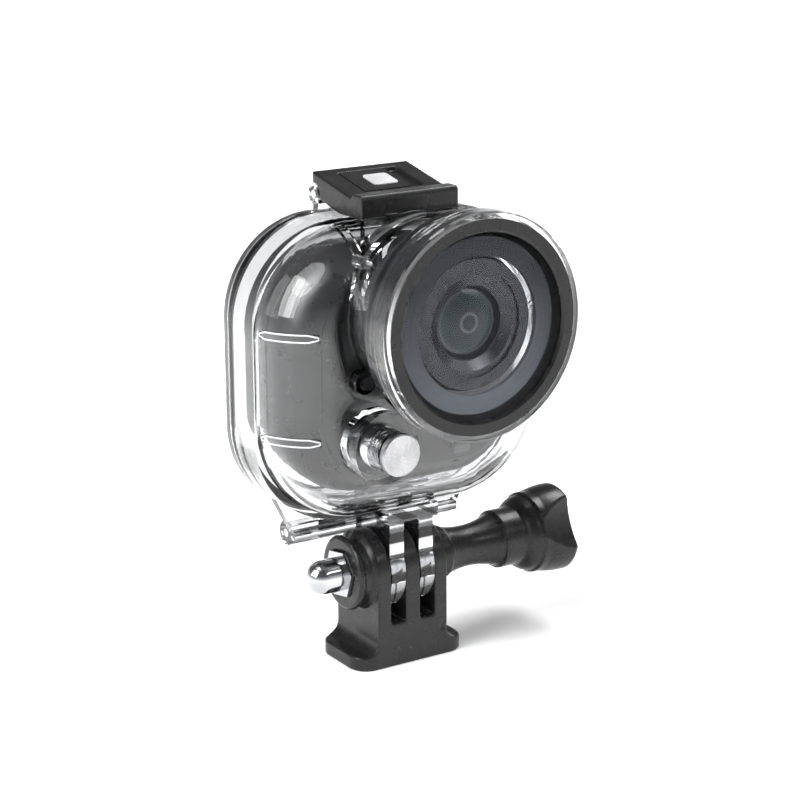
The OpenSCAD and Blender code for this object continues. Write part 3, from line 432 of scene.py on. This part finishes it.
finishes = {
    "clear_plastic": clearPlastic("clearPolycarbonate"),
    "port_glass": clearPlastic("portGlass", (0.88, 0.90, 0.93), 0.002, 0.004, 1.16),
    "lens_glass": clearPlastic("coatedLens", (0.55, 0.66, 0.60), 0.004),
    "black_plastic": mouldedPlastic("blackNylon", (0.009, 0.009, 0.0095), (0.014, 0.014, 0.0145), 0.28,
                                    sheen=0.36),
    "dark_plastic": mouldedPlastic("darkHousingPlastic", (0.010, 0.0105, 0.012), (0.016, 0.0165, 0.018),
                                   0.42, sheen=0.28),
    "camera_case": glossyCase("cameraCaseSatin", (0.013, 0.013, 0.0135), (0.018, 0.018, 0.0185),
                              0.30, 1.78),
    "seal_rubber": softRubber("sealRubber", (0.030, 0.030, 0.031), (0.050, 0.050, 0.051)),
    "button_rubber": softRubber("buttonRubber", (0.012, 0.012, 0.013), (0.02, 0.02, 0.021)),
    "steel": brightMetal("polishedSteel", (0.62, 0.63, 0.64), 0.10),
    "dark_steel": brightMetal("blackenedSteel", (0.05, 0.05, 0.053), 0.3),
    "brass": brightMetal("threadBrass", (0.83, 0.62, 0.28), 0.22, (1, 1, 6)),
    "button_metal": spunMetal("spunAluminium", (0.52, 0.52, 0.53), 0.30),
    "screen_glass": mouldedPlastic("screenGlass", (0.004, 0.005, 0.007), (0.007, 0.008, 0.011),
                                   0.08, 800, 0.01),
    "battery_wrap": mouldedPlastic("batteryWrap", (0.03, 0.05, 0.10), (0.04, 0.07, 0.14), 0.3),
    "board": mouldedPlastic("boardLacquer", (0.01, 0.07, 0.035), (0.015, 0.10, 0.05), 0.35),
    "sensor_glass": mouldedPlastic("sensorGlass", (0.02, 0.03, 0.05), (0.04, 0.05, 0.07), 0.12, 800, 0.01),
    "status_light": mouldedPlastic("statusLight", (0.15, 0.15, 0.155), (0.19, 0.19, 0.195), 0.35),
}
# nodes whose finish isn't their slot's plain one
ownFinish = {
    # opaque light grey painted in place of the light seen through the clear grip
    "slider_grip": mouldedPlastic("gripPaintedLight", (0.42, 0.42, 0.43), (0.60, 0.60, 0.61), 0.12, 500, 0.02),
    "port_hood": hoodPaintedShade("hoodPaintedShade"),
    "front_lens": paintedRingLens("frontLensPaintedRings"),
    "lens_bezel": mouldedPlastic("lensBezelGloss", (0.012, 0.0125, 0.013), (0.018, 0.0185, 0.020),
                                 0.16, 1500, 0.01),
}


def slotOf(name):
    return next(s["material_slot"] for s in frame["record"]["subparts"] if s["node"] == name)


def dressNodes():
    for name, node in nodes.items():
        node.data.materials.clear()
        node.data.materials.append(ownFinish.get(name) or finishes[slotOf(name)])


soften = {
    # each node's piece name, voxel and rounds of smoothing
    "tripod_base": ("tripodMoulding", 0.24 * mm, 5),
    "thumb_knob": ("knobMoulding", 0.22 * mm, 5),
    "latch_lever": ("latchMoulding", 0.20 * mm, 4),
}
easing = {"weld": 1e-6, "factor": 0.5}


def softenNode(name):
    # same moulding with its edges eased, as a tool leaves them
    title, voxel, rounds = soften[name]
    source = nodes[name]
    mesh = source.data.copy()
    mesh.name = title
    piece = bpy.data.objects.new(title, mesh)
    bpy.context.scene.collection.objects.link(piece)
    welded = bmesh.new()
    welded.from_mesh(mesh)
    bmesh.ops.remove_doubles(welded, verts=welded.verts, dist=easing["weld"])
    welded.to_mesh(mesh)
    welded.free()
    grid = piece.modifiers.new("grid", "REMESH")
    grid.mode = "VOXEL"
    grid.voxel_size = voxel
    grid.use_smooth_shade = True
    ease = piece.modifiers.new("ease", "SMOOTH")
    ease.factor = easing["factor"]
    ease.iterations = rounds
    graph = bpy.context.evaluated_depsgraph_get()
    done = bpy.data.meshes.new_from_object(piece.evaluated_get(graph))
    piece.modifiers.clear()
    piece.data = done
    done.name = title
    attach(piece, source["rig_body"])
    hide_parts(name)
    done.materials.clear()
    done.materials.append(finishes[slotOf(name)])


ribLip = {
    "side": 28.3 * mm,           # half width of the housing
    "edge": 12.5 * mm,           # radius of its soft front edge
    "front": -13.2 * mm,
    "proud": 0.55 * mm,          # how far the ribs stand out
    "start": 0.24,               # radians round the edge where a rib begins
    "inner": 21.9 * mm,          # where a rib ends on the front
    "heights": (64.6 * mm, 46.3 * mm),
    "halfHeight": 0.62 * mm,
    "thick": 0.15 * mm,
    "roundness": 3,
    "steps": 26,
    "endHeight": 0.35,           # share of the height at a rib's two ends
    "opens": 6,                  # how fast it grows from where it begins
    "closes": 4,
}


def ribLine(side):
    # round the housing's soft front edge
    radius = ribLip["edge"] + ribLip["proud"]
    middleX = ribLip["side"] - ribLip["edge"]
    middleY = ribLip["front"] + ribLip["edge"]
    last = math.acos((ribLip["inner"] - middleX) / radius)
    line = []
    for i in range(ribLip["steps"] + 1):
        turn = ribLip["start"] + (last - ribLip["start"]) * i / ribLip["steps"]
        line.append((side * (middleX + radius * math.cos(turn)), middleY - radius * math.sin(turn)))
    return line


def lipLoop(side, height):
    # the two lips of a rib draw together at both ends
    line = list(enumerate(ribLine(side)))
    loop = []
    for edge in (1, -1):
        for i, (x, y) in line[::edge]:
            share = i / ribLip["steps"]
            opening = ribLip["endHeight"] + ribLip["opens"] * share
            closing = ribLip["endHeight"] + ribLip["closes"] * (1 - share)
            reach = ribLip["halfHeight"] * min(1.0, opening, closing)
            loop.append((x, y, height + edge * reach))
    return loop


def beadAlong(loop):
    curve = bpy.data.curves.new("lipLine", "CURVE")
    curve.dimensions = "3D"
    spline = curve.splines.new("POLY")
    spline.points.add(len(loop) - 1)
    for point, place in zip(spline.points, loop):
        point.co = (*place, 1)
    spline.use_cyclic_u = True
    curve.bevel_depth = ribLip["thick"]
    curve.bevel_resolution = ribLip["roundness"]
    maker = bpy.data.objects.new("lipMaker", curve)
    bpy.context.scene.collection.objects.link(maker)
    graph = bpy.context.evaluated_depsgraph_get()
    mesh = bpy.data.meshes.new_from_object(maker.evaluated_get(graph))
    bpy.data.objects.remove(maker)
    for face in mesh.polygons:
        face.use_smooth = True
    return mesh


# light grey painted on the rib lips: a painted glint along the moulded rib edges
lipGlintPaint = mouldedPlastic("ribLipPaintedGlint", (0.66, 0.66, 0.67), (0.80, 0.80, 0.81), 0.25, 900, 0.02)


def makeRibLips():
    for side, sideName in ((-1, "left"), (1, "right")):
        for height, heightName in zip(ribLip["heights"], ("Upper", "Lower")):
            mesh = beadAlong(lipLoop(side, height))
            mesh.materials.clear()
            mesh.materials.append(lipGlintPaint)
            lip = bpy.data.objects.new(sideName + heightName + "RibLip", mesh)
            bpy.context.scene.collection.objects.link(lip)
            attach(lip, "housing")


makeCamera()
makeFloor()
makeSky()
makeLights()
dressNodes()
print("studio and finishes ready")
for nodeName in soften:
    softenNode(nodeName)
print("softened mouldings made")
makeRibLips()
print("rib lips made")

bpy.context.scene.view_settings.view_transform = "Standard"
